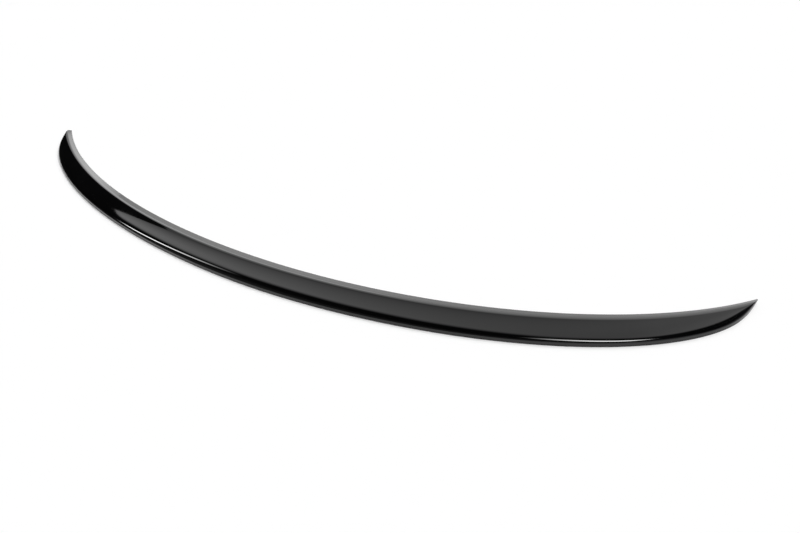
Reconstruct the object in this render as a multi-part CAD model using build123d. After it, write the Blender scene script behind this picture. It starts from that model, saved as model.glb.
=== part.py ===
from build123d import *
from math import copysign, dist, exp, floor, radians, sqrt, tan
import os

# Slim lip spoiler for a boot lid, moulded in one piece.
# In plan it is a crescent: a full, rounded rear edge and a flatter front edge that meet in two tips.
# A section rises from a thin front edge up a short slope to the soft crest, runs back over a broad, slightly
# crowned top, and turns down over a large rounding into a rear wall that leans forward.
# Underneath it is open: two bonding lands follow the edges, with a ribbed hollow between them.
# Millimetres, +X along the span, +Y to the front of the car, +Z up, origin under the middle of its box.

# Plan outline
SPAN = 1200.0  # tip to tip
BOW = 196.0  # the point where the edges would meet, ahead of the rear edge's middle
DEPTH = 48.0  # rear edge to front edge in the middle
REAR_FULLNESS = 1.91  # power of the rear edge's curve, where 2 is an ellipse
FRONT_OVERRUN = 70.0  # the front edge's ellipse runs on this far past the meeting point
TIP_ROUND = 6.5  # reach of the rear edge's turn into the tip
TIP_BLUNT = 1.2  # the meeting point lies this far outside the tip

# Skin
CREST_HEIGHT = 12.5  # crest in the middle
TIP_CREST_HEIGHT = 8.0
REAR_HEIGHT = 9.0  # rear corner in the middle, before it is rounded
TIP_REAR_HEIGHT = 8.0
REAR_LEAN = 22.0  # degrees from upright
REAR_FOOT = 4.5  # straight part of the rear wall below its rounding
SLOPE_DEPTH = 14.0  # front edge to crest in the middle
TIP_SLOPE_DEPTH = 8.0
FRONT_LIP = 1.2  # upright part of the front edge
REAR_ROUND = 9.0  # reach of the rear rounding over the top
CREST_ROUND = 4.0  # reach of the crest's rounding to either side
CROWN_ANGLE = 7.0  # degrees between the top's ends and a straight line over it

# Underside
WALL = 3.5  # from the skin, before it is rounded, down to the hollow
REAR_LAND = 9.0
FRONT_LAND = 8.0
HOLLOW_END = 60.0  # from the tip to the end of the hollow
RIB_PITCH = 60.0
RIB_THICKNESS = 2.0
RIB_SETBACK = 1.5  # ribs stay clear of the bonding plane

# Drawing constants
HALF_STATIONS = 15  # sections from the middle to a tip
STATION_POWER = 3  # how much closer together they come towards the tip
ROUND_HANDLE = 0.55  # length of a rounding's handles, which makes it close to elliptical
BLEND_POWER = 3  # sharpness of the soft minimum
OVERCUT = 2.0  # what is trimmed reaches this far past the bonding plane

TIP = SPAN / 2
MEETING = TIP + TIP_BLUNT
FRONT_HALF_WIDTH = MEETING + FRONT_OVERRUN


def soft_minimum(a, b):
    """The smaller of two sizes, with a smooth change from one to the other."""
    return (a**-BLEND_POWER + b**-BLEND_POWER) ** (-1 / BLEND_POWER)


def towards_tip(middle, tip, x, power=1):
    """A size that changes smoothly from the middle of the span to the tips."""
    return tip + (middle - tip) * (1 - (x / MEETING) ** 2) ** power


def front_edge(x):
    def drop(across):
        return 1 - sqrt(1 - (across / FRONT_HALF_WIDTH) ** 2)

    return DEPTH + (BOW - DEPTH) * drop(x) / drop(MEETING)


def rear_edge(x):
    """A full curve that turns into the front edge over the last stretch before the tip."""
    share = (abs(x) / MEETING) ** REAR_FULLNESS
    full_depth = front_edge(x) - BOW * (1 - (1 - share) ** (1 / REAR_FULLNESS))
    return front_edge(x) - full_depth * sqrt(1 - exp((abs(x) - MEETING) / TIP_ROUND))


def slope_depth(x):
    """Depth of the front slope, and its share of the depth that it has where there is room for it."""
    free = towards_tip(SLOPE_DEPTH, TIP_SLOPE_DEPTH, x)
    slope = soft_minimum(free, front_edge(x) - rear_edge(x))
    return slope, slope / free


def corners(x):
    """Rear corner and crest before they are rounded, as (y, z) pairs, both lower where the tip runs out."""
    slope, share = slope_depth(x)
    crest_height = FRONT_LIP + (towards_tip(CREST_HEIGHT, TIP_CREST_HEIGHT, x, 2) - FRONT_LIP) * share
    rear_height = towards_tip(REAR_HEIGHT, TIP_REAR_HEIGHT, x, 2) * share
    crest = (front_edge(x) - slope, crest_height)
    room = (crest[0] - rear_edge(x)) / 2
    lean = soft_minimum(rear_height * tan(radians(REAR_LEAN)), room)
    return (rear_edge(x) + lean, rear_height), crest


def roundings(x):
    """Reaches of the rear rounding and of the crest's, both smaller where the top is short."""
    rear, crest = corners(x)
    share = soft_minimum(1, (crest[0] - rear[0]) / (REAR_ROUND + CREST_ROUND))
    return REAR_ROUND * share, CREST_ROUND * share


def along(start, end, distance):
    """The point at a distance from start on the way to end."""
    share = distance / dist(start, end)
    return tuple(s + (e - s) * share for s, e in zip(start, end))


def closed_section(x, outline):
    """A face across the span at x, from the edges that run through (y, z) points."""
    edges = []
    for points in outline:
        places = [(x, y, z) for y, z in points]
        edges.append(Line(*places) if len(places) == 2 else Bezier(*places))
    return make_face(edges)


def skin_section(x):
    rear, crest = corners(x)
    rear_round, crest_round = roundings(x)
    low = (rear_edge(x), 0)
    front = (front_edge(x), FRONT_LIP)
    top_start = along(rear, crest, rear_round)
    top_end = along(crest, rear, crest_round)
    half_top = dist(top_start, top_end) / 2
    chord_middle = along(top_start, top_end, half_top)
    crown = (chord_middle[0], chord_middle[1] + half_top * tan(radians(CROWN_ANGLE)))

    foot = along(low, rear, REAR_FOOT * slope_depth(x)[1])
    foot_handle = along(foot, rear, ROUND_HANDLE * dist(foot, rear))
    start_handle = along(top_start, crown, -ROUND_HANDLE * rear_round)
    end_handle = along(top_end, crown, -ROUND_HANDLE * crest_round)
    slope_start = along(crest, front, crest_round)
    slope_handle = along(slope_start, crest, ROUND_HANDLE * crest_round)
    below_rear = along(low, rear, -OVERCUT)
    below_front = (front[0], below_rear[1])
    outline = [
        (below_rear, foot),
        (foot, foot_handle, start_handle, top_start),
        (top_start, crown, top_end),
        (top_end, end_handle, slope_handle, slope_start),
        (slope_start, front),
        (front, below_front),
        (below_front, below_rear),
    ]
    return closed_section(x, outline)


def skin_height(x, y):
    """Height of the skin above the bonding plane, without its roundings."""
    rear, crest = corners(x)
    end = rear if y < crest[0] else (front_edge(x), FRONT_LIP)
    return crest[1] + (end[1] - crest[1]) * (y - crest[0]) / (end[0] - crest[0])


def hollow_section(x):
    """Inside of the skin, from land to land, with its ridge under the crest or just behind the front land."""
    back = rear_edge(x) + REAR_LAND
    ahead = front_edge(x) - FRONT_LAND
    ridge = min(corners(x)[1][0], ahead - WALL)
    ceiling = [(y, skin_height(x, y) - WALL) for y in (back, ridge, ahead)]
    points = [(back, -OVERCUT), *ceiling, (ahead, -OVERCUT)]
    return closed_section(x, zip(points, points[1:] + points[:1]))


def stations(reach):
    """Places across the span, closer together towards both ends."""
    shares = [step / HALF_STATIONS for step in range(-HALF_STATIONS, HALF_STATIONS + 1)]
    return [copysign(reach * (1 - (1 - abs(share)) ** STATION_POWER), share) for share in shares]


def make_ribs(reach):
    """Plates across the hollow, one in the middle and the rest at an even pitch."""
    count = floor((reach - RIB_THICKNESS) / RIB_PITCH)
    height = CREST_HEIGHT - RIB_SETBACK
    plate = Box(RIB_THICKNESS, 2 * BOW, height, align=(Align.CENTER, Align.CENTER, Align.MIN))
    places = [step * RIB_PITCH for step in range(-count, count + 1)]
    return [Pos(x, BOW, RIB_SETBACK) * plate for x in places]


def make_spoiler():
    skin = loft([skin_section(x) for x in stations(TIP)])
    hollow_reach = TIP - HOLLOW_END
    hollow = loft([hollow_section(x) for x in stations(hollow_reach)])
    pockets = hollow - make_ribs(hollow_reach)
    below = Box(2 * MEETING, 2 * BOW, OVERCUT, align=(Align.CENTER, Align.CENTER, Align.MAX))
    body = skin - pockets - Pos(0, BOW / 2, 0) * below
    return Pos(0, -front_edge(TIP) / 2, 0) * body


spoiler = make_spoiler()
os.makedirs("parts", exist_ok=True)
export_step(spoiler, "parts/spoiler_body.step")
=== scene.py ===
"""A slim gloss black lip spoiler for a boot lid, lying in a white studio, laid out as a Blender add-on."""

from math import cos, exp, floor, pi, radians, sin, sqrt, tan

import bmesh
import bpy
from bpy.props import FloatProperty, FloatVectorProperty, IntProperty, PointerProperty
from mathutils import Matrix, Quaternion, Vector


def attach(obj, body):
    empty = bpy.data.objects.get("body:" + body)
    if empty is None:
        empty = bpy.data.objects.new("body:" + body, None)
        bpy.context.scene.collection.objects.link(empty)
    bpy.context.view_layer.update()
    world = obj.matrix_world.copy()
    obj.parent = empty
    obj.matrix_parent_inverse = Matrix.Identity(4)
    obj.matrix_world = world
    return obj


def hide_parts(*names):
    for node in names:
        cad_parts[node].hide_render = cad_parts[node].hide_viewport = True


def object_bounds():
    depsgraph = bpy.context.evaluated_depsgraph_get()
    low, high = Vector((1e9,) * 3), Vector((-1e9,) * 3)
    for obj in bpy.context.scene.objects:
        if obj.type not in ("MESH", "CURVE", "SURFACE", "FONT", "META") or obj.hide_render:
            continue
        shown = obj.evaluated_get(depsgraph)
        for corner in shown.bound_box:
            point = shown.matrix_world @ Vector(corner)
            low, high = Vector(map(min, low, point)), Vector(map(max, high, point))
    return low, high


bl_info = {
    "name": "Boot Lid Lip Spoiler",
    "version": (1, 0, 0),
    "blender": (4, 5, 0),
    "location": "3D View > Sidebar > Spoiler",
    "description": "Builds a moulded lip spoiler in gloss black plastic and the white studio around it",
    "category": "Object",
}

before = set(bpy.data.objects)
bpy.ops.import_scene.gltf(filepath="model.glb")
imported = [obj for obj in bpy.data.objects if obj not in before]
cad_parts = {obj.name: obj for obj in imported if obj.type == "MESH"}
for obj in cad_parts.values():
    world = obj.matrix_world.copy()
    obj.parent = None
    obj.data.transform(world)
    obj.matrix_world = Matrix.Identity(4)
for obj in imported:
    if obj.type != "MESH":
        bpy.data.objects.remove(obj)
CAD_BOX = [list(corner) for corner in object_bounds()]

MM = 0.001
MM_PLACES = 3  # decimals of a metre that make up whole millimetres
CAD_NODE = "spoiler_body"
BODY = "root"
PIECE = "lip_spoiler"
FLOOR = "studio_floor"
CAMERA = "studio_camera"
SHARP_EDGE = radians(30)
MERGE_DISTANCE = 0.001 * MM
VIEW_AXIS = (0, 0, 1)  # a camera looks down its own z axis
WHITE = (1, 1, 1, 1)


def length(name, millimetres, description):
    """A length property, written in millimetres and kept in metres."""
    return FloatProperty(
        name=name,
        description=description,
        default=millimetres * MM,
        unit="LENGTH",
        precision=4,
    )


def angle(name, degrees, description):
    """An angle property, written in degrees and kept in radians."""
    return FloatProperty(name=name, description=description, default=radians(degrees), subtype="ANGLE")


def colour(name, value, description):
    """A colour property in linear light."""
    return FloatVectorProperty(
        name=name,
        description=description,
        default=value,
        subtype="COLOR",
        min=0,
        max=1,
    )


def factor(name, value, description):
    """A share from 0 to 1."""
    return FloatProperty(name=name, description=description, default=value, subtype="FACTOR", min=0, max=1)


def level(name, value, description):
    """A light level, where 1 is white."""
    return FloatProperty(name=name, description=description, default=value, min=0)


def camera_length(name, millimetres, description):
    """A length inside the camera, which is kept in millimetres."""
    return FloatProperty(name=name, description=description, default=millimetres, subtype="DISTANCE_CAMERA")


class SpoilerSizes(bpy.types.PropertyGroup):
    """Sizes of the moulding, which are those of the solid part."""

    span: FloatProperty(
        name="Span",
        description="Tip to tip",
        default=round(CAD_BOX[1][0] - CAD_BOX[0][0], MM_PLACES),
        unit="LENGTH",
    )
    bow: length("Bow", 196, "From the rear edge's middle forward to where the edges would meet")
    depth: length("Depth", 48, "Rear edge to front edge in the middle")
    fullness: FloatProperty(name="Rear fullness", description="Power of the rear edge's curve", default=1.91)
    overrun: length("Front overrun", 70, "The front edge's ellipse runs on this far past the meeting point")
    tip_round: length("Tip rounding", 6.5, "Reach of the rear edge's turn into the tip")
    blunt: length("Tip blunting", 1.2, "The meeting point lies this far outside the tip")
    crest: length("Crest height", 12.5, "Crest in the middle")
    tip_crest: length("Tip crest height", 8, "Crest towards the tips")
    rear: length("Rear height", 9, "Rear corner in the middle, before it is rounded")
    tip_rear: length("Tip rear height", 8, "Rear corner towards the tips, before it is rounded")
    lean: angle("Rear lean", 22, "Lean of the rear wall from upright")
    foot: length("Rear foot", 4.5, "Straight part of the rear wall, below its rounding")
    slope: length("Slope depth", 14, "Front edge to crest in the middle")
    tip_slope: length("Tip slope depth", 8, "Front edge to crest towards the tips")
    lip: length("Front lip", 1.2, "Upright part of the front edge")
    rounding: length("Rear rounding", 9, "Reach of the rear rounding over the top")
    crest_rounding: length("Crest rounding", 4, "Reach of the crest's rounding to either side")
    crown: angle("Top crown", 7, "Angle between the top's ends and a straight line over it")
    wall: length("Wall", 3.5, "From the skin, before it is rounded, down to the hollow")
    rear_land: length("Rear land", 9, "Width of the bonding land along the rear edge")
    front_land: length("Front land", 8, "Width of the bonding land along the front edge")
    hollow_end: length("Hollow end", 60, "From the tip to the end of the hollow")
    rib_pitch: length("Rib pitch", 60, "From rib to rib")
    rib: length("Rib thickness", 2, "Thickness of a rib")
    rib_setback: length("Rib setback", 1.5, "From the bonding plane up to a rib")
    stations: IntProperty(name="Stations", description="Sections from the middle to a tip", default=150)


class BlackFinish(bpy.types.PropertyGroup):
    """Finish of the polished skin and of the satin underside."""

    black: colour("Black", (0.0012, 0.0012, 0.0013), "Colour of the polished skin")
    haze: colour("Haze", (0.002, 0.002, 0.0022), "Colour of the skin where its polish is a little milky")
    gloss: factor("Gloss roughness", 0.03, "Roughness of the polished skin")
    haze_rise: factor("Haze roughness", 0.03, "Extra roughness where the polish is milky")
    cloud: length("Cloud", 60, "Width of the milky patches")
    peel: length("Peel", 6, "Width of the skin's faint waves")
    peel_depth: length("Peel depth", 0.003, "Height of the skin's faint waves")
    raw: colour("Raw black", (0.014, 0.014, 0.015), "Colour of the underside")
    worn: colour("Worn black", (0.022, 0.022, 0.023), "Colour of the underside in its paler patches")
    satin: factor("Satin roughness", 0.42, "Roughness of the underside")
    grain: length("Grain", 0.7, "Width of the underside's moulded grain")
    grain_depth: length("Grain depth", 0.02, "Height of the underside's moulded grain")


class StudioSetup(bpy.types.PropertyGroup):
    """Camera, floor and light."""

    lens: camera_length("Lens", 24, "Focal length")
    sensor: camera_length("Sensor", 36, "Width of the sensor")
    azimuth: angle("Azimuth", 37.3, "Camera's turn round the part, from straight behind it to its right")
    elevation: angle("Elevation", 50, "Camera's height above the floor, as an angle")
    roll: angle("Roll", -14, "Turn of the camera about its own view")
    distance: length("Distance", 714.2, "Camera to the point it looks at")
    target_right: length("Target right", 190.4, "The point it looks at, right of the middle")
    target_ahead: length("Target ahead", 102.4, "The point it looks at, ahead of the rear edge")
    floor: colour("Floor", (0.96, 0.96, 0.96), "Colour of the floor")
    floor_reach: length("Floor reach", 6000, "Width of the floor")
    daylight: level("Daylight", 0.104, "Soft light from all round")
    key: level("Key light", 12.3, "Broad soft light from ahead, from the right and above")
    panel: level("Panel", 1.1, "Ceiling panel, as the skin mirrors it")
    panel_peak: level("Panel peak", 1.8, "Brightest corner of the panel")
    tubes: level("Tubes", 20, "Two tubes behind the panel, as the skin mirrors them")
    backdrop: level("Backdrop", 2.0, "White backdrop ahead of the part, as the skin mirrors it")
    window: level("Window", 1.2, "Low window in the backdrop, as the skin mirrors it")
    wall: level("Rear wall", 0.13, "Dim wall behind the part, as the skin mirrors it")
    side: level("Side wall", 0.6, "Wall behind the part on the right, as the skin mirrors it")
    right: level("Right wall", 0.4, "Dim wall on the right, as the skin mirrors it")
    dark: level("Dark", 0.01, "Unlit parts of the room, as the skin mirrors them")


class Profile:
    """Sections across the span, as (y, z) points in metres, with the rear edge's middle at y = 0."""

    HANDLE = 0.55  # length of a rounding's handles, which makes it close to elliptical
    BLEND = 3  # sharpness of the soft minimum
    HEIGHT_POWER = 2  # the heights fall sooner towards the tips than the slope's depth
    FOOT_STEPS = 4
    ROUND_STEPS = 24
    TOP_STEPS = 16
    CREST_STEPS = 12
    SLOPE_STEPS = 8
    LIP_STEPS = 2
    SKIN_COUNT = 1 + FOOT_STEPS + ROUND_STEPS + TOP_STEPS + CREST_STEPS + SLOPE_STEPS + LIP_STEPS
    SOLID, RIB, HOLLOW = range(3)

    def __init__(self, sizes):
        self.sizes = sizes
        self.tip = sizes.span / 2
        self.meeting = self.tip + sizes.blunt
        self.front_half_width = self.meeting + sizes.overrun
        self.hollow_reach = self.tip - sizes.hollow_end
        self.box_middle = self.front_edge(self.tip) / 2

    def soft_minimum(self, a, b):
        """The smaller of two sizes, with a smooth change from one to the other."""
        return (a**-self.BLEND + b**-self.BLEND) ** (-1 / self.BLEND)

    def towards_tip(self, middle, tip, x, power=1):
        """A size that changes smoothly from the middle of the span to the tips."""
        return tip + (middle - tip) * (1 - (x / self.meeting) ** 2) ** power

    def front_edge(self, x):
        """An ellipse that would run on past the tips."""

        def drop(across):
            return 1 - sqrt(1 - (across / self.front_half_width) ** 2)

        rise = self.sizes.bow - self.sizes.depth
        return self.sizes.depth + rise * drop(x) / drop(self.meeting)

    def rear_edge(self, x):
        """A full curve that turns into the front edge over the last stretch before the tip."""
        power = self.sizes.fullness
        full = self.sizes.bow * (1 - (1 - (abs(x) / self.meeting) ** power) ** (1 / power))
        turn = sqrt(1 - exp((abs(x) - self.meeting) / self.sizes.tip_round))
        return self.front_edge(x) - (self.front_edge(x) - full) * turn

    def slope_depth(self, x):
        """Depth of the front slope, and its share of the depth that it has where there is room for it."""
        free = self.towards_tip(self.sizes.slope, self.sizes.tip_slope, x)
        slope = self.soft_minimum(free, self.front_edge(x) - self.rear_edge(x))
        return slope, slope / free

    def corners(self, x):
        """Rear corner and crest before they are rounded, both lower where the tip runs out."""
        sizes = self.sizes
        slope, share = self.slope_depth(x)
        full_crest = self.towards_tip(sizes.crest, sizes.tip_crest, x, self.HEIGHT_POWER)
        crest_height = sizes.lip + (full_crest - sizes.lip) * share
        rear_height = self.towards_tip(sizes.rear, sizes.tip_rear, x, self.HEIGHT_POWER) * share
        crest = Vector((self.front_edge(x) - slope, crest_height))
        room = (crest.x - self.rear_edge(x)) / 2
        lean = self.soft_minimum(rear_height * tan(sizes.lean), room)
        return Vector((self.rear_edge(x) + lean, rear_height)), crest

    def skin(self, x):
        """Points over the outside, from the rear edge's foot to the front edge's."""
        sizes = self.sizes
        rear, crest = self.corners(x)
        low = Vector((self.rear_edge(x), 0))
        front = Vector((self.front_edge(x), sizes.lip))
        share = self.soft_minimum(1, (crest.x - rear.x) / (sizes.rounding + sizes.crest_rounding))

        wall = (rear - low).normalized()
        along_top = (crest - rear).normalized()
        down_slope = (front - crest).normalized()
        foot = low + wall * sizes.foot * self.slope_depth(x)[1]
        top_start = rear + along_top * sizes.rounding * share
        top_end = crest - along_top * sizes.crest_rounding * share
        slope_start = crest + down_slope * sizes.crest_rounding * share
        half_top = (top_end - top_start) / 2
        crown = top_start + half_top + Vector((0, half_top.length * tan(sizes.crown)))
        leaving = (crown - top_start).normalized()
        arriving = (top_end - crown).normalized()

        runs = [
            ((low, foot), self.FOOT_STEPS),
            (self.turn(foot, wall, rear, top_start, leaving), self.ROUND_STEPS),
            ((top_start, crown, top_end), self.TOP_STEPS),
            (self.turn(top_end, arriving, crest, slope_start, down_slope), self.CREST_STEPS),
            ((slope_start, front), self.SLOPE_STEPS),
            ((front, Vector((front.x, 0))), self.LIP_STEPS),
        ]
        points = [low]
        for handles, steps in runs:
            points += [bezier(handles, step / steps) for step in range(1, steps + 1)]
        return points

    def turn(self, start, out, corner, end, onward):
        """Handles of a rounding that leaves start along out, and comes into end along onward."""
        first = start + out * self.HANDLE * (corner - start).length
        second = end - onward * self.HANDLE * (end - corner).length
        return start, first, second, end

    def skin_height(self, x, y):
        """Height of the skin over the bonding plane, without its roundings."""
        rear, crest = self.corners(x)
        end = rear if y < crest.x else Vector((self.front_edge(x), self.sizes.lip))
        return crest.y + (end.y - crest.y) * (y - crest.x) / (end.x - crest.x)

    def underside(self, x, filling):
        """Points from the front land to the rear land, over the hollow, a rib or a flat end."""
        sizes = self.sizes
        third = (self.front_edge(x) - self.rear_edge(x)) / 3
        back = self.rear_edge(x) + min(sizes.rear_land, third)
        ahead = self.front_edge(x) - min(sizes.front_land, third)
        ridge = max(min(self.corners(x)[1].x, ahead - sizes.wall), back)
        across = [ahead, ridge, back]
        if filling == self.HOLLOW:
            heights = [self.skin_height(x, y) - sizes.wall for y in across]
        else:
            heights = [sizes.rib_setback if filling == self.RIB else 0] * len(across)
        ceiling = [Vector(point) for point in zip(across, heights)]
        return [Vector((ahead, 0)), *ceiling, Vector((back, 0))]

    def zones(self):
        """Stretches of the span as (start, end, filling), from the left tip to the right."""
        sizes = self.sizes
        reach = self.hollow_reach
        count = floor((reach - sizes.rib) / sizes.rib_pitch)
        found = [(-self.tip, -reach, self.SOLID)]
        place = -reach
        for step in range(-count, count + 1):
            left = step * sizes.rib_pitch - sizes.rib / 2
            right = left + sizes.rib
            found += [(place, left, self.HOLLOW), (left, right, self.RIB)]
            place = right
        return found + [(place, reach, self.HOLLOW), (reach, self.tip, self.SOLID)]

    def rings(self):
        """Closed sections along the span, each a list of (x, y, z) points in the part's frame."""
        count = self.sizes.stations
        fine = [self.tip * sin(pi / 2 * step / count) for step in range(1 - count, count)]
        for start, end, filling in self.zones():
            for x in [start, *(x for x in fine if start < x < end), end]:
                outline = self.skin(x) + self.underside(x, filling)
                yield [(x, y - self.box_middle, z) for y, z in outline]


def bezier(handles, t):
    """A point on the curve of any number of handles."""
    points = list(handles)
    while len(points) > 1:
        points = [a.lerp(b, t) for a, b in zip(points, points[1:])]
    return points[0]


class Value:
    """A number socket of a node tree, so that maths on it reads as an expression."""

    def __init__(self, graph, socket):
        self.graph = graph
        self.socket = socket

    def maths(self, operation, *inputs):
        return self.graph.add("ShaderNodeMath", {"operation": operation}, dict(enumerate(inputs)))

    def __add__(self, other):
        return self.maths("ADD", self, other)

    def __radd__(self, other):
        return self.maths("ADD", other, self)

    def __sub__(self, other):
        return self.maths("SUBTRACT", self, other)

    def __rsub__(self, other):
        return self.maths("SUBTRACT", other, self)

    def __mul__(self, other):
        return self.maths("MULTIPLY", self, other)

    def __rmul__(self, other):
        return self.maths("MULTIPLY", other, self)

    def __truediv__(self, other):
        return self.maths("DIVIDE", self, other)

    def at_least(self, other):
        return self.maths("MAXIMUM", self, other)

    def at_most(self, other):
        return self.maths("MINIMUM", self, other)


class Graph:
    """A node tree that is filled from Python expressions."""

    MIX_FIRST, MIX_SECOND, MIX_RESULT = 6, 7, 2  # a Mix node's sockets for colours

    def __init__(self, owner):
        owner.use_nodes = True
        self.tree = owner.node_tree
        self.tree.nodes.clear()

    def add(self, kind, settings=None, inputs=None, output=0):
        """Adds a node, sets it up, feeds its sockets and gives one of its outputs."""
        node = self.tree.nodes.new(kind)
        for name, setting in (settings or {}).items():
            setattr(node, name, setting)
        for key, feed in (inputs or {}).items():
            if isinstance(feed, Value):
                self.tree.links.new(feed.socket, node.inputs[key])
            else:
                node.inputs[key].default_value = feed
        return Value(self, node.outputs[output] if node.outputs else None)

    def parts(self, vector):
        """The three numbers of a vector."""
        split = self.add("ShaderNodeSeparateXYZ", inputs={0: vector}).socket.node
        return [Value(self, socket) for socket in split.outputs]

    def edge(self, value, place, soft):
        """Rises smoothly from 0 to 1 across a soft edge centred on a place."""
        inputs = {"Value": value, "From Min": place - soft / 2, "From Max": place + soft / 2}
        return self.add("ShaderNodeMapRange", {"interpolation_type": "SMOOTHSTEP"}, inputs)

    def band(self, value, low, high, soft):
        """1 between low and high, with soft edges centred on them."""
        return self.edge(value, low, soft) * (1 - self.edge(value, high, soft))

    def mix(self, share, first, second):
        """A colour between two."""
        inputs = {"Factor": share, self.MIX_FIRST: first, self.MIX_SECOND: second}
        return self.add("ShaderNodeMix", {"data_type": "RGBA"}, inputs, self.MIX_RESULT)

    def grey(self, brightness):
        """A colour without hue."""
        return self.add("ShaderNodeCombineColor", inputs=dict.fromkeys(range(3), brightness))

    def noise(self, place, width, detail=2):
        """Soft noise whose patches are about a width across."""
        inputs = {"Vector": place, "Scale": 1 / width, "Detail": detail}
        return self.add("ShaderNodeTexNoise", inputs=inputs)

    def bump(self, height):
        """A relief at full strength, with its height in metres."""
        return self.add("ShaderNodeBump", inputs={"Height": height, "Strength": 1.0, "Distance": 1.0})


class Plastic:
    """What both finishes share: how the plastic refracts, and where the noise turns into patches."""

    REFRACTION = 1.5
    PATCH_MIDDLE = 0.6
    PATCH_SOFT = 0.3
    PATCH_DETAIL = 4


def plastic_material(name, first, second, patch_width, roughness, rise, relief_width, relief_depth):
    """Plastic of two close colours in soft patches, a little rougher in the second, with a fine relief."""
    material = bpy.data.materials.new(name)
    graph = Graph(material)
    place = graph.add("ShaderNodeTexCoord", output="Object")
    cloud = graph.noise(place, patch_width, Plastic.PATCH_DETAIL)
    patch = graph.edge(cloud, Plastic.PATCH_MIDDLE, Plastic.PATCH_SOFT)
    shader = graph.add(
        "ShaderNodeBsdfPrincipled",
        inputs={
            "Base Color": graph.mix(patch, (*first, 1), (*second, 1)),
            "Roughness": roughness + rise * patch,
            "IOR": Plastic.REFRACTION,
            "Normal": graph.bump(graph.noise(place, relief_width) * relief_depth),
        },
    )
    graph.add("ShaderNodeOutputMaterial", inputs={"Surface": shader})
    return material


def gloss_black(finish):
    """The polished skin."""
    return plastic_material(
        "gloss_black",
        finish.black,
        finish.haze,
        finish.cloud,
        finish.gloss,
        finish.haze_rise,
        finish.peel,
        finish.peel_depth,
    )


def satin_black(finish):
    """The grained underside."""
    return plastic_material(
        "satin_black",
        finish.raw,
        finish.worn,
        finish.cloud,
        finish.satin,
        finish.haze_rise,
        finish.grain,
        finish.grain_depth,
    )


def floor_material(setup):
    """Matt white."""
    material = bpy.data.materials.new("white_floor")
    graph = Graph(material)
    shader = graph.add("ShaderNodeBsdfDiffuse", inputs={"Color": (*setup.floor, 1)})
    graph.add("ShaderNodeOutputMaterial", inputs={"Surface": shader})
    return material


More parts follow.
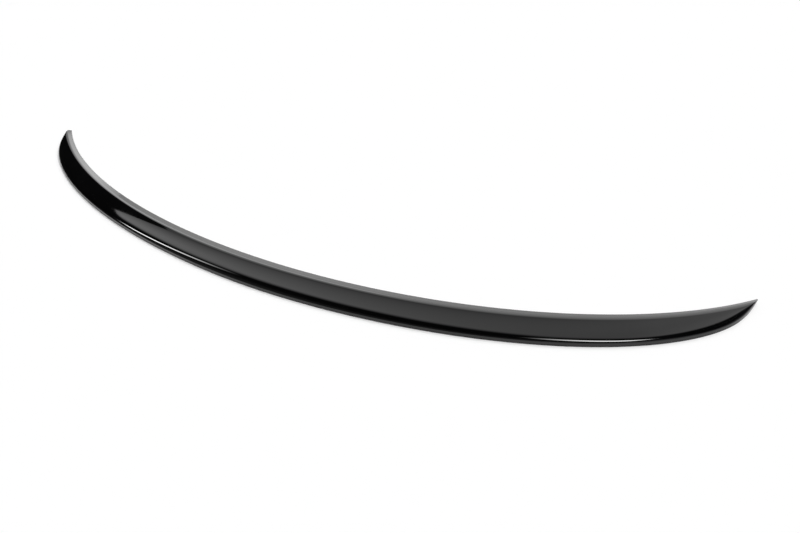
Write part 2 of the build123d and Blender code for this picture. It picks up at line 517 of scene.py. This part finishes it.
class Room:
    """The studio that the skin mirrors. Ceiling places are for a ceiling one unit above the part.

    A pair is an edge's place and softness, and three numbers are a band's two edges and their softness.
    """

    HORIZON = 0.05  # the ceiling ends this far above the horizon

    PANEL_REAR = (-0.103, 0.24)
    REAR_MIDDLE = -0.55  # the rear edge bends ahead to both sides of this
    REAR_BEND = 0.24
    PANEL_LEFT = (-1.48, 0.02)
    NOTCH_REAR = (-1.71, 0.76)  # start and slant of the rear side of a notch in the left edge
    NOTCH_FRONT = (-0.95, -0.5)  # and of its front side
    RIGHT_CUT = (-0.68, 0.3)
    RIGHT_SLANT = 2.35  # the right edge runs ahead to the right
    PANEL_FRONT = (1.4, 0.4)
    FADE_AHEAD = 0.12  # the panel dims ahead
    FADE_TURN = 2.2  # it dims to the right at its rear, and to the left further ahead
    PANEL_LOW = 0.5  # its dimmest part
    BRIGHT_RIGHT = (0.25, 0.25)  # right of this it is brighter
    BRIGHT_RISE = 0.35

    LEFT_TUBE = ((-1.84, 0.25), (-1.12, 0.6))  # its two ends
    LEFT_TUBE_SLANT = 0.19
    LEFT_TUBE_AHEAD = (-0.165, -0.057, 0.07)
    RIGHT_TUBE = ((0.2, 0.25), (0.51, 0.06))
    RIGHT_TUBE_AHEAD = (-0.43, -0.22, 0.07)

    KEY_TURN = radians(40)  # the key light comes from ahead, turned to the right by this
    KEY_REACH = (0.5, 0.8)
    KEY_FOOT = (0.65, 0.6)

    AHEAD = 0.05  # the backdrop starts this far ahead, and its places are for one unit ahead
    BACKDROP_LEFT = (-1.28, 0.15)
    BACKDROP_RIGHT = (1.7, 0.6)
    BACKDROP_HEAD = (0.62, 0.4)
    BACKDROP_RISE = (-0.75, 0.8)  # it is brighter right of here
    BACKDROP_DIM = 0.6  # what is left of it on the left
    WINDOW_SIDE = (-1.28, -0.5, 0.15)
    WINDOW_FOOT = (0.03, 0.1)
    WINDOW_HEAD = (0.35, 0.15)

    WALL_PLACE = (-0.35, 0.5)  # the rear wall lies behind this
    WALL_HEAD = (0.65, 0.4)
    SIDE_TURN = radians(135)  # the side wall lies this far round to the right
    SIDE_REACH = (0.86, 0.16)
    RIGHT_TURN = radians(92)  # and the right wall this far
    RIGHT_REACH = (0.92, 0.1)

    def __init__(self, graph, setup):
        self.graph = graph
        self.setup = setup
        direction = graph.add("ShaderNodeTexCoord", output="Generated")
        self.right, self.ahead, self.up = graph.parts(direction)
        height = self.up.at_least(self.HORIZON)
        self.ceiling_right = self.right / height
        self.ceiling_ahead = self.ahead / height
        self.backdrop_right = self.right / self.ahead.at_least(self.AHEAD)

    def towards(self, turn):
        """1 on the horizon at a turn to the right of straight ahead, and less away from there."""
        return self.ahead * cos(turn) + self.right * sin(turn)

    def daylight(self):
        """Soft light from all round and a broad key light, which give the floor its shadow."""
        key = self.graph.edge(self.towards(self.KEY_TURN), *self.KEY_REACH)
        key = key * self.graph.edge(self.up, *self.KEY_FOOT)
        return self.setup.daylight + key * self.setup.key

    def line(self, start_and_slant):
        """How far right a slanted line on the ceiling lies, at each place ahead."""
        start, slant = start_and_slant
        return start + self.ceiling_ahead * slant

    def panel(self):
        """The ceiling panel, brightest in its rear left and front right corners."""
        graph, right, ahead = self.graph, self.ceiling_right, self.ceiling_ahead
        off_middle = right - self.REAR_MIDDLE
        shape = graph.edge(ahead - off_middle * off_middle * self.REAR_BEND, *self.PANEL_REAR)
        notch = self.line(self.NOTCH_REAR).at_most(self.line(self.NOTCH_FRONT))
        left_end, left_soft = self.PANEL_LEFT
        shape = shape * graph.edge(right - notch.at_least(left_end), 0, left_soft)
        shape = shape * graph.edge(ahead - right * self.RIGHT_SLANT, *self.RIGHT_CUT)
        shape = shape * (1 - graph.edge(ahead, *self.PANEL_FRONT))
        glow = 1 - self.FADE_AHEAD * ahead - right * (1 - self.FADE_TURN * ahead)
        glow = (glow + graph.edge(right, *self.BRIGHT_RIGHT) * self.BRIGHT_RISE) * self.setup.panel
        return shape * glow.at_least(self.PANEL_LOW).at_most(self.setup.panel_peak)

    def tube(self, ends, across, sides):
        """A bright strip between two ends, where across lies between its sides."""
        (left, left_soft), (right, right_soft) = ends
        graph = self.graph
        run = graph.edge(self.ceiling_right, left, left_soft)
        run = run * (1 - graph.edge(self.ceiling_right, right, right_soft))
        return run * graph.band(across, *sides) * self.setup.tubes

    def tubes(self):
        """The slanted tube on the left and the straight one on the right."""
        slanted = self.ceiling_ahead - self.ceiling_right * self.LEFT_TUBE_SLANT
        left = self.tube(self.LEFT_TUBE, slanted, self.LEFT_TUBE_AHEAD)
        return left + self.tube(self.RIGHT_TUBE, self.ceiling_ahead, self.RIGHT_TUBE_AHEAD)

    def backdrop(self):
        """The backdrop ahead, dimmer on the left and softly ended above."""
        graph, side = self.graph, self.backdrop_right
        shape = graph.edge(side, *self.BACKDROP_LEFT) * (1 - graph.edge(side, *self.BACKDROP_RIGHT))
        shape = shape * graph.edge(self.ahead, self.AHEAD, self.AHEAD)
        shape = shape * (1 - graph.edge(self.up, *self.BACKDROP_HEAD))
        glow = self.BACKDROP_DIM + (1 - self.BACKDROP_DIM) * graph.edge(side, *self.BACKDROP_RISE)
        return shape * glow * self.setup.backdrop

    def window(self):
        """The low window on the left of the backdrop."""
        graph = self.graph
        side = graph.band(self.backdrop_right, *self.WINDOW_SIDE)
        height = graph.edge(self.up, *self.WINDOW_FOOT) * (1 - graph.edge(self.up, *self.WINDOW_HEAD))
        return side * height * graph.edge(self.ahead, self.AHEAD, self.AHEAD) * self.setup.window

    def wall(self):
        """The walls behind and on the right."""
        graph = self.graph
        shape = (1 - graph.edge(self.ahead, *self.WALL_PLACE)) * (1 - graph.edge(self.up, *self.WALL_HEAD))
        side = graph.edge(self.towards(self.SIDE_TURN), *self.SIDE_REACH) * self.setup.side
        right = graph.edge(self.towards(self.RIGHT_TURN), *self.RIGHT_REACH) * self.setup.right
        return shape * self.setup.wall + side + right

    def glow(self):
        """All of the room together."""
        above = self.graph.edge(self.up, self.HORIZON, self.HORIZON)
        overhead = above * self.panel() + above * self.tubes()
        return self.setup.dark + overhead.at_least(self.backdrop()) + self.window() + self.wall()


def studio_world(setup):
    """Soft light for the floor, a room for the reflections, and white where the camera sees past it all."""
    world = bpy.data.worlds.new("white_studio")
    bpy.context.scene.world = world
    graph = Graph(world)
    room = Room(graph, setup)
    glossy = graph.add("ShaderNodeLightPath", output="Is Glossy Ray")
    direct = graph.add("ShaderNodeLightPath", output="Is Camera Ray")
    lit = graph.mix(glossy, graph.grey(room.daylight()), graph.grey(room.glow()))
    seen = graph.mix(direct, lit, WHITE)
    background = graph.add("ShaderNodeBackground", inputs={"Color": seen, "Strength": 1.0})
    graph.add("ShaderNodeOutputWorld", inputs={"Surface": background})


class SPOILER_OT_body(bpy.types.Operator):
    """Builds the moulded spoiler"""

    bl_idname = "spoiler.body"
    bl_label = "Spoiler Body"

    SKIN, UNDERSIDE = range(2)

    def execute(self, context):
        finish = context.scene.spoiler_finish
        mesh = self.moulding(Profile(context.scene.spoiler_sizes))
        mesh.materials.append(gloss_black(finish))
        mesh.materials.append(satin_black(finish))
        piece = bpy.data.objects.new(PIECE, mesh)
        context.scene.collection.objects.link(piece)
        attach(piece, BODY)
        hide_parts(CAD_NODE)
        return {"FINISHED"}

    def moulding(self, profile):
        """A closed mesh through the sections, with a flat face at each tip."""
        shape = bmesh.new()
        rings = [[shape.verts.new(point) for point in ring] for ring in profile.rings()]
        for ring, following in zip(rings, rings[1:]):
            for here in range(len(ring)):
                face = shape.faces.new((ring[here - 1], ring[here], following[here], following[here - 1]))
                face.material_index = self.SKIN if 0 < here < Profile.SKIN_COUNT else self.UNDERSIDE
        shape.faces.new(rings[0])
        shape.faces.new(reversed(rings[-1]))
        bmesh.ops.remove_doubles(shape, verts=shape.verts, dist=MERGE_DISTANCE)
        bmesh.ops.dissolve_degenerate(shape, edges=shape.edges, dist=MERGE_DISTANCE)
        bmesh.ops.recalc_face_normals(shape, faces=shape.faces)
        mesh = bpy.data.meshes.new(PIECE)
        shape.to_mesh(mesh)
        shape.free()
        mesh.shade_smooth()
        mesh.set_sharp_from_angle(angle=SHARP_EDGE)
        return mesh


class SPOILER_OT_stage(bpy.types.Operator):
    """Lays the floor, lights the studio and sets the camera"""

    bl_idname = "spoiler.stage"
    bl_label = "Studio"

    def execute(self, context):
        scene = context.scene
        setup = scene.spoiler_studio
        self.lay_floor(scene, setup)
        studio_world(setup)
        self.set_camera(scene, setup, Profile(scene.spoiler_sizes).box_middle)
        scene.view_settings.view_transform = "Standard"
        return {"FINISHED"}

    def lay_floor(self, scene, setup):
        half = setup.floor_reach / 2
        corners = [(-half, -half, 0), (half, -half, 0), (half, half, 0), (-half, half, 0)]
        mesh = bpy.data.meshes.new(FLOOR)
        mesh.from_pydata(corners, [], [range(len(corners))])
        mesh.materials.append(floor_material(setup))
        floor_piece = bpy.data.objects.new(FLOOR, mesh)
        scene.collection.objects.link(floor_piece)

    def set_camera(self, scene, setup, box_middle):
        """Places the camera on a line back from the point it looks at, and rolls it about that line."""
        flat = cos(setup.elevation)
        back = Vector((sin(setup.azimuth) * flat, -cos(setup.azimuth) * flat, sin(setup.elevation)))
        target = Vector((setup.target_right, setup.target_ahead - box_middle, 0))
        data = bpy.data.cameras.new(CAMERA)
        data.sensor_width = setup.sensor
        data.sensor_fit = "HORIZONTAL"
        data.lens = setup.lens
        camera = bpy.data.objects.new(CAMERA, data)
        camera.location = target + back * setup.distance
        camera.rotation_mode = "QUATERNION"
        camera.rotation_quaternion = back.to_track_quat("Z", "Y") @ Quaternion(VIEW_AXIS, setup.roll)
        scene.collection.objects.link(camera)
        scene.camera = camera


class SPOILER_PT_panel(bpy.types.Panel):
    """Lists the operators and their settings"""

    bl_idname = "SPOILER_PT_panel"
    bl_label = "Lip Spoiler"
    bl_space_type = "VIEW_3D"
    bl_region_type = "UI"
    bl_category = "Spoiler"

    def draw(self, context):
        groups = [
            (SPOILER_OT_body, context.scene.spoiler_sizes),
            (SPOILER_OT_body, context.scene.spoiler_finish),
            (SPOILER_OT_stage, context.scene.spoiler_studio),
        ]
        for operator, settings in groups:
            box = self.layout.box()
            box.operator(operator.bl_idname)
            for name in settings.__annotations__:
                box.prop(settings, name)


CLASSES = [
    SpoilerSizes,
    BlackFinish,
    StudioSetup,
    SPOILER_OT_body,
    SPOILER_OT_stage,
    SPOILER_PT_panel,
]


def register():
    for cls in CLASSES:
        bpy.utils.register_class(cls)
    bpy.types.Scene.spoiler_sizes = PointerProperty(type=SpoilerSizes)
    bpy.types.Scene.spoiler_finish = PointerProperty(type=BlackFinish)
    bpy.types.Scene.spoiler_studio = PointerProperty(type=StudioSetup)


def unregister():
    del bpy.types.Scene.spoiler_studio
    del bpy.types.Scene.spoiler_finish
    del bpy.types.Scene.spoiler_sizes
    for cls in reversed(CLASSES):
        bpy.utils.unregister_class(cls)


def main():
    register()
    bpy.ops.spoiler.body()
    bpy.ops.spoiler.stage()


if __name__ == "__main__":
    main()
